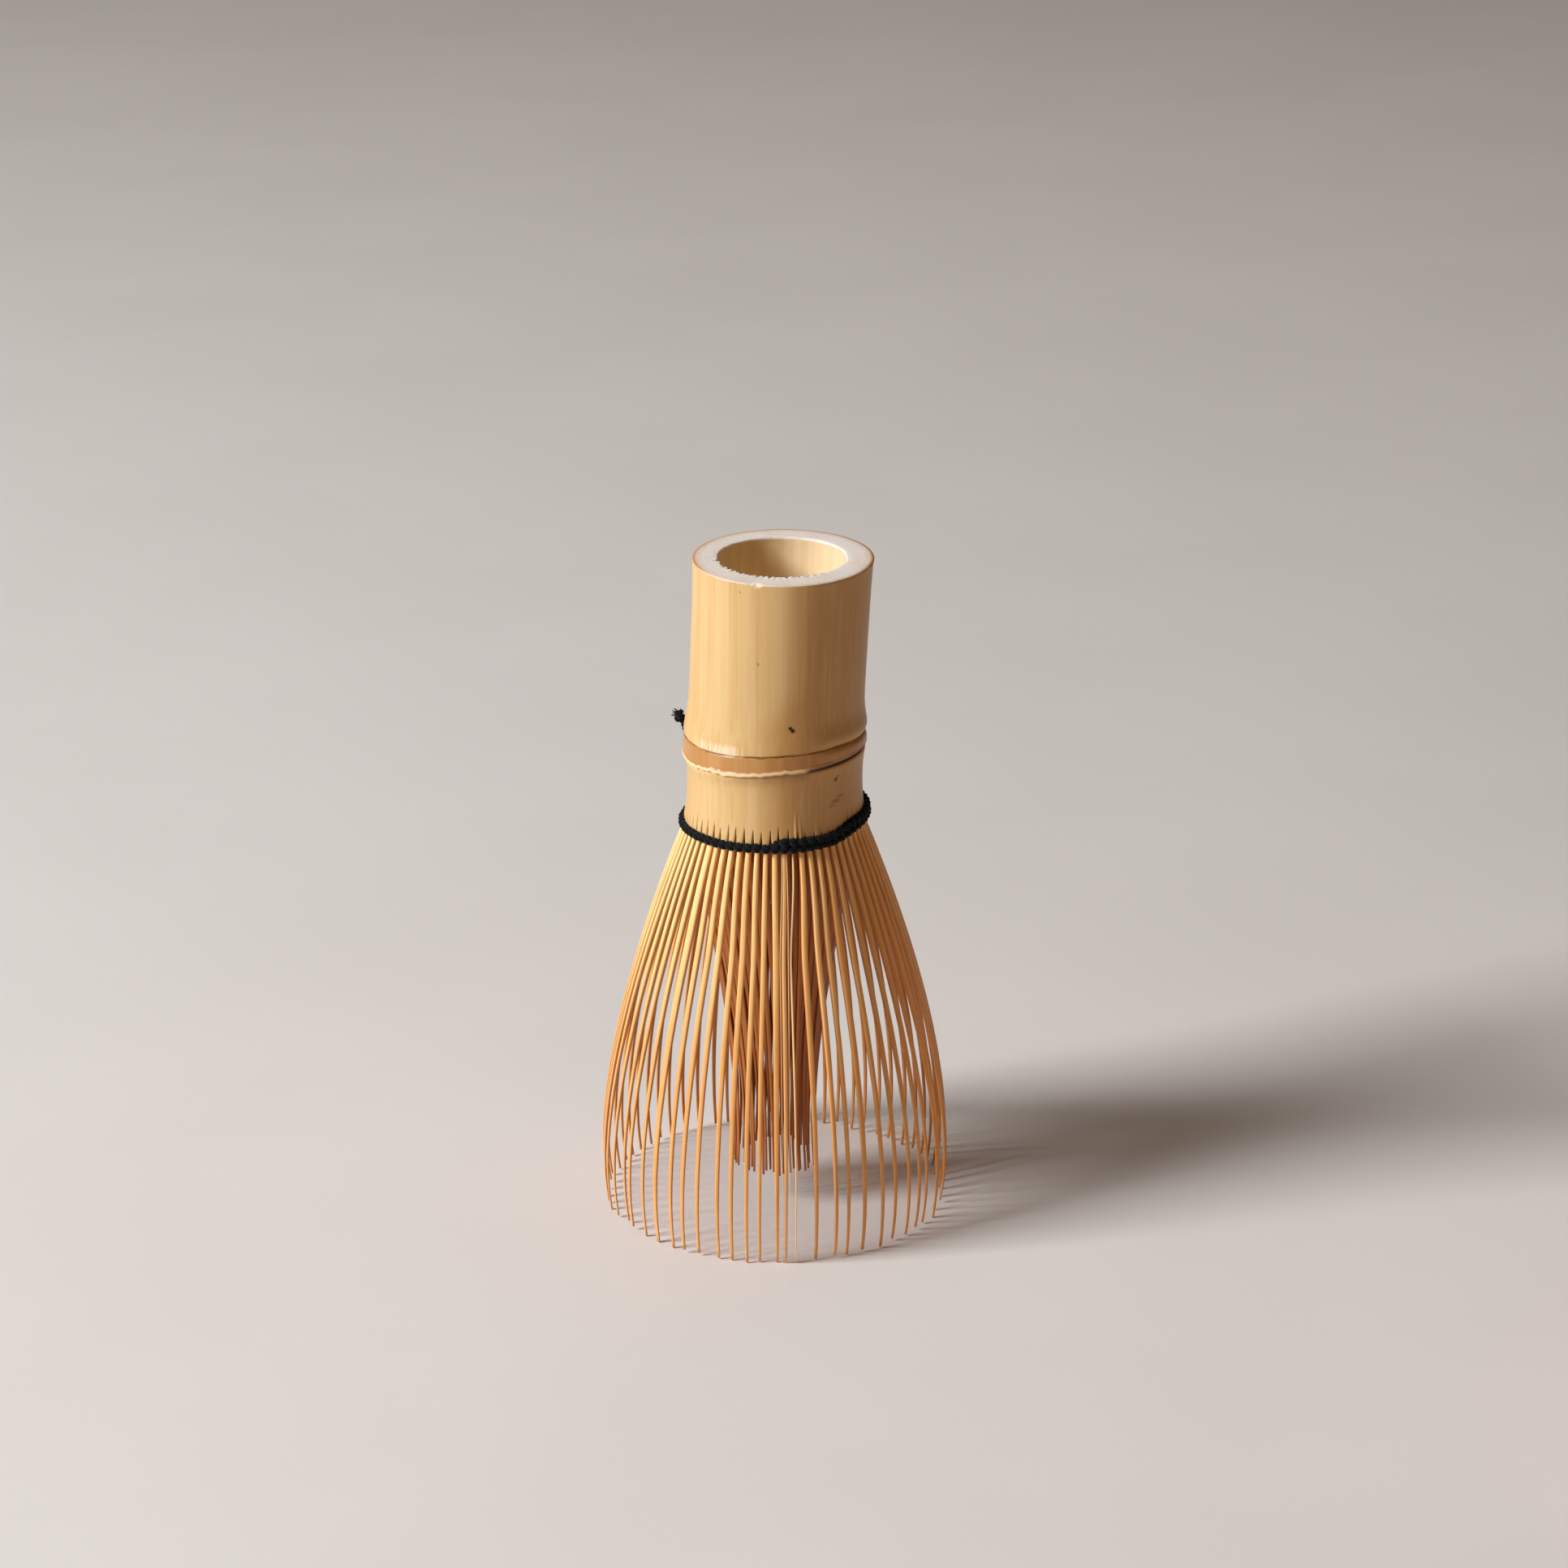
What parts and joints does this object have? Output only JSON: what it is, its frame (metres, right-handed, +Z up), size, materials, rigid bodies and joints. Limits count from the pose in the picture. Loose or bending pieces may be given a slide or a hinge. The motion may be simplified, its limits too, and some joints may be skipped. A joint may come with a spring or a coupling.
{
  "type": "bamboo tea whisk",
  "caption": "Bamboo tea whisk: a hollow culm handle split below its node into an outer cage and an inner bundle of springy tines, held apart by black thread.",
  "frame": {"origin": "on the ground under the handle's axis, at the tips of the outer tines", "axes": "+Z up the handle towards its cut end; +X to the right and -Y to the viewer when the thread's loose end is at the back left"},
  "size_m": [0.0544, 0.0544, 0.1055],
  "materials": {
    "bamboo_culm": "satin bamboo skin with faint brown flecks",
    "bamboo_outer_tines": "split bamboo, satin outside and fibrous inside, amber towards the tips",
    "bamboo_inner_tines": "thin split bamboo, more orange",
    "black_thread": "matt black twisted cotton"
  },
  "bodies": {
    "handle": {"handle_culm": "bamboo_culm", "binding_thread": "black_thread"},
    "outer_tines_01": {"outer_tines_01": "bamboo_outer_tines"},
    "outer_tines_02": {"outer_tines_02": "bamboo_outer_tines"},
    "outer_tines_03": {"outer_tines_03": "bamboo_outer_tines"},
    "outer_tines_04": {"outer_tines_04": "bamboo_outer_tines"},
    "outer_tines_05": {"outer_tines_05": "bamboo_outer_tines"},
    "outer_tines_06": {"outer_tines_06": "bamboo_outer_tines"},
    "outer_tines_07": {"outer_tines_07": "bamboo_outer_tines"},
    "outer_tines_08": {"outer_tines_08": "bamboo_outer_tines"},
    "outer_tines_09": {"outer_tines_09": "bamboo_outer_tines"},
    "outer_tines_10": {"outer_tines_10": "bamboo_outer_tines"},
    "outer_tines_11": {"outer_tines_11": "bamboo_outer_tines"},
    "outer_tines_12": {"outer_tines_12": "bamboo_outer_tines"},
    "outer_tines_13": {"outer_tines_13": "bamboo_outer_tines"},
    "outer_tines_14": {"outer_tines_14": "bamboo_outer_tines"},
    "outer_tines_15": {"outer_tines_15": "bamboo_outer_tines"},
    "outer_tines_16": {"outer_tines_16": "bamboo_outer_tines"},
    "inner_tines_01": {"inner_tines_01": "bamboo_inner_tines"},
    "inner_tines_02": {"inner_tines_02": "bamboo_inner_tines"},
    "inner_tines_03": {"inner_tines_03": "bamboo_inner_tines"},
    "inner_tines_04": {"inner_tines_04": "bamboo_inner_tines"},
    "inner_tines_05": {"inner_tines_05": "bamboo_inner_tines"},
    "inner_tines_06": {"inner_tines_06": "bamboo_inner_tines"},
    "inner_tines_07": {"inner_tines_07": "bamboo_inner_tines"},
    "inner_tines_08": {"inner_tines_08": "bamboo_inner_tines"},
    "inner_tines_09": {"inner_tines_09": "bamboo_inner_tines"},
    "inner_tines_10": {"inner_tines_10": "bamboo_inner_tines"},
    "inner_tines_11": {"inner_tines_11": "bamboo_inner_tines"},
    "inner_tines_12": {"inner_tines_12": "bamboo_inner_tines"},
    "inner_tines_13": {"inner_tines_13": "bamboo_inner_tines"},
    "inner_tines_14": {"inner_tines_14": "bamboo_inner_tines"},
    "inner_tines_15": {"inner_tines_15": "bamboo_inner_tines"},
    "inner_tines_16": {"inner_tines_16": "bamboo_inner_tines"}
  },
  "joints": [
    {"name": "outer_tines_01_flex", "type": "hinge", "parent": "handle", "child": "outer_tines_01", "pos_m": [0.01308, 0.00064, 0.0635], "axis": [0.0491, -0.9988, 0], "range_deg": [-3, 10], "stiffness_Nm_per_rad": 0.03},
    {"name": "outer_tines_02_flex", "type": "hinge", "parent": "handle", "child": "outer_tines_02", "pos_m": [0.01184, 0.0056, 0.0635], "axis": [0.4276, -0.904, 0], "range_deg": [-3, 10], "stiffness_Nm_per_rad": 0.03},
    {"name": "outer_tines_03_flex", "type": "hinge", "parent": "handle", "child": "outer_tines_03", "pos_m": [0.0088, 0.00971, 0.0635], "axis": [0.741, -0.6716, 0], "range_deg": [-3, 10], "stiffness_Nm_per_rad": 0.03},
    {"name": "outer_tines_04_flex", "type": "hinge", "parent": "handle", "child": "outer_tines_04", "pos_m": [0.00441, 0.01233, 0.0635], "axis": [0.9415, -0.3369, 0], "range_deg": [-3, 10], "stiffness_Nm_per_rad": 0.03},
    {"name": "outer_tines_05_flex", "type": "hinge", "parent": "handle", "child": "outer_tines_05", "pos_m": [-0.00064, 0.01308, 0.0635], "axis": [0.9988, 0.0491, 0], "range_deg": [-3, 10], "stiffness_Nm_per_rad": 0.03},
    {"name": "outer_tines_06_flex", "type": "hinge", "parent": "handle", "child": "outer_tines_06", "pos_m": [-0.0056, 0.01184, 0.0635], "axis": [0.904, 0.4276, 0], "range_deg": [-3, 10], "stiffness_Nm_per_rad": 0.03},
    {"name": "outer_tines_07_flex", "type": "hinge", "parent": "handle", "child": "outer_tines_07", "pos_m": [-0.00971, 0.0088, 0.0635], "axis": [0.6716, 0.741, 0], "range_deg": [-3, 10], "stiffness_Nm_per_rad": 0.03},
    {"name": "outer_tines_08_flex", "type": "hinge", "parent": "handle", "child": "outer_tines_08", "pos_m": [-0.01233, 0.00441, 0.0635], "axis": [0.3369, 0.9415, 0], "range_deg": [-3, 10], "stiffness_Nm_per_rad": 0.03},
    {"name": "outer_tines_09_flex", "type": "hinge", "parent": "handle", "child": "outer_tines_09", "pos_m": [-0.01308, -0.00064, 0.0635], "axis": [-0.0491, 0.9988, 0], "range_deg": [-3, 10], "stiffness_Nm_per_rad": 0.03},
    {"name": "outer_tines_10_flex", "type": "hinge", "parent": "handle", "child": "outer_tines_10", "pos_m": [-0.01184, -0.0056, 0.0635], "axis": [-0.4276, 0.904, 0], "range_deg": [-3, 10], "stiffness_Nm_per_rad": 0.03},
    {"name": "outer_tines_11_flex", "type": "hinge", "parent": "handle", "child": "outer_tines_11", "pos_m": [-0.0088, -0.00971, 0.0635], "axis": [-0.741, 0.6716, 0], "range_deg": [-3, 10], "stiffness_Nm_per_rad": 0.03},
    {"name": "outer_tines_12_flex", "type": "hinge", "parent": "handle", "child": "outer_tines_12", "pos_m": [-0.00441, -0.01233, 0.0635], "axis": [-0.9415, 0.3369, 0], "range_deg": [-3, 10], "stiffness_Nm_per_rad": 0.03},
    {"name": "outer_tines_13_flex", "type": "hinge", "parent": "handle", "child": "outer_tines_13", "pos_m": [0.00064, -0.01308, 0.0635], "axis": [-0.9988, -0.0491, 0], "range_deg": [-3, 10], "stiffness_Nm_per_rad": 0.03},
    {"name": "outer_tines_14_flex", "type": "hinge", "parent": "handle", "child": "outer_tines_14", "pos_m": [0.0056, -0.01184, 0.0635], "axis": [-0.904, -0.4276, 0], "range_deg": [-3, 10], "stiffness_Nm_per_rad": 0.03},
    {"name": "outer_tines_15_flex", "type": "hinge", "parent": "handle", "child": "outer_tines_15", "pos_m": [0.00971, -0.0088, 0.0635], "axis": [-0.6716, -0.741, 0], "range_deg": [-3, 10], "stiffness_Nm_per_rad": 0.03},
    {"name": "outer_tines_16_flex", "type": "hinge", "parent": "handle", "child": "outer_tines_16", "pos_m": [0.01233, -0.00441, 0.0635], "axis": [-0.3369, -0.9415, 0], "range_deg": [-3, 10], "stiffness_Nm_per_rad": 0.03},
    {"name": "inner_tines_01_flex", "type": "hinge", "parent": "handle", "child": "inner_tines_01", "pos_m": [0.01145, 0, 0.0635], "axis": [0, -1, 0], "range_deg": [0, 8], "stiffness_Nm_per_rad": 0.0045},
    {"name": "inner_tines_02_flex", "type": "hinge", "parent": "handle", "child": "inner_tines_02", "pos_m": [0.01058, 0.00438, 0.0635], "axis": [0.3827, -0.9239, 0], "range_deg": [0, 8], "stiffness_Nm_per_rad": 0.0045},
    {"name": "inner_tines_03_flex", "type": "hinge", "parent": "handle", "child": "inner_tines_03", "pos_m": [0.0081, 0.0081, 0.0635], "axis": [0.7071, -0.7071, 0], "range_deg": [0, 8], "stiffness_Nm_per_rad": 0.0045},
    {"name": "inner_tines_04_flex", "type": "hinge", "parent": "handle", "child": "inner_tines_04", "pos_m": [0.00438, 0.01058, 0.0635], "axis": [0.9239, -0.3827, 0], "range_deg": [0, 8], "stiffness_Nm_per_rad": 0.0045},
    {"name": "inner_tines_05_flex", "type": "hinge", "parent": "handle", "child": "inner_tines_05", "pos_m": [0, 0.01145, 0.0635], "axis": [1, 0, 0], "range_deg": [0, 8], "stiffness_Nm_per_rad": 0.0045},
    {"name": "inner_tines_06_flex", "type": "hinge", "parent": "handle", "child": "inner_tines_06", "pos_m": [-0.00438, 0.01058, 0.0635], "axis": [0.9239, 0.3827, 0], "range_deg": [0, 8], "stiffness_Nm_per_rad": 0.0045},
    {"name": "inner_tines_07_flex", "type": "hinge", "parent": "handle", "child": "inner_tines_07", "pos_m": [-0.0081, 0.0081, 0.0635], "axis": [0.7071, 0.7071, 0], "range_deg": [0, 8], "stiffness_Nm_per_rad": 0.0045},
    {"name": "inner_tines_08_flex", "type": "hinge", "parent": "handle", "child": "inner_tines_08", "pos_m": [-0.01058, 0.00438, 0.0635], "axis": [0.3827, 0.9239, 0], "range_deg": [0, 8], "stiffness_Nm_per_rad": 0.0045},
    {"name": "inner_tines_09_flex", "type": "hinge", "parent": "handle", "child": "inner_tines_09", "pos_m": [-0.01145, 0, 0.0635], "axis": [0, 1, 0], "range_deg": [0, 8], "stiffness_Nm_per_rad": 0.0045},
    {"name": "inner_tines_10_flex", "type": "hinge", "parent": "handle", "child": "inner_tines_10", "pos_m": [-0.01058, -0.00438, 0.0635], "axis": [-0.3827, 0.9239, 0], "range_deg": [0, 8], "stiffness_Nm_per_rad": 0.0045},
    {"name": "inner_tines_11_flex", "type": "hinge", "parent": "handle", "child": "inner_tines_11", "pos_m": [-0.0081, -0.0081, 0.0635], "axis": [-0.7071, 0.7071, 0], "range_deg": [0, 8], "stiffness_Nm_per_rad": 0.0045},
    {"name": "inner_tines_12_flex", "type": "hinge", "parent": "handle", "child": "inner_tines_12", "pos_m": [-0.00438, -0.01058, 0.0635], "axis": [-0.9239, 0.3827, 0], "range_deg": [0, 8], "stiffness_Nm_per_rad": 0.0045},
    {"name": "inner_tines_13_flex", "type": "hinge", "parent": "handle", "child": "inner_tines_13", "pos_m": [0, -0.01145, 0.0635], "axis": [-1, 0, 0], "range_deg": [0, 8], "stiffness_Nm_per_rad": 0.0045},
    {"name": "inner_tines_14_flex", "type": "hinge", "parent": "handle", "child": "inner_tines_14", "pos_m": [0.00438, -0.01058, 0.0635], "axis": [-0.9239, -0.3827, 0], "range_deg": [0, 8], "stiffness_Nm_per_rad": 0.0045},
    {"name": "inner_tines_15_flex", "type": "hinge", "parent": "handle", "child": "inner_tines_15", "pos_m": [0.0081, -0.0081, 0.0635], "axis": [-0.7071, -0.7071, 0], "range_deg": [0, 8], "stiffness_Nm_per_rad": 0.0045},
    {"name": "inner_tines_16_flex", "type": "hinge", "parent": "handle", "child": "inner_tines_16", "pos_m": [0.01058, -0.00438, 0.0635], "axis": [-0.3827, -0.9239, 0], "range_deg": [0, 8], "stiffness_Nm_per_rad": 0.0045}
  ]
}
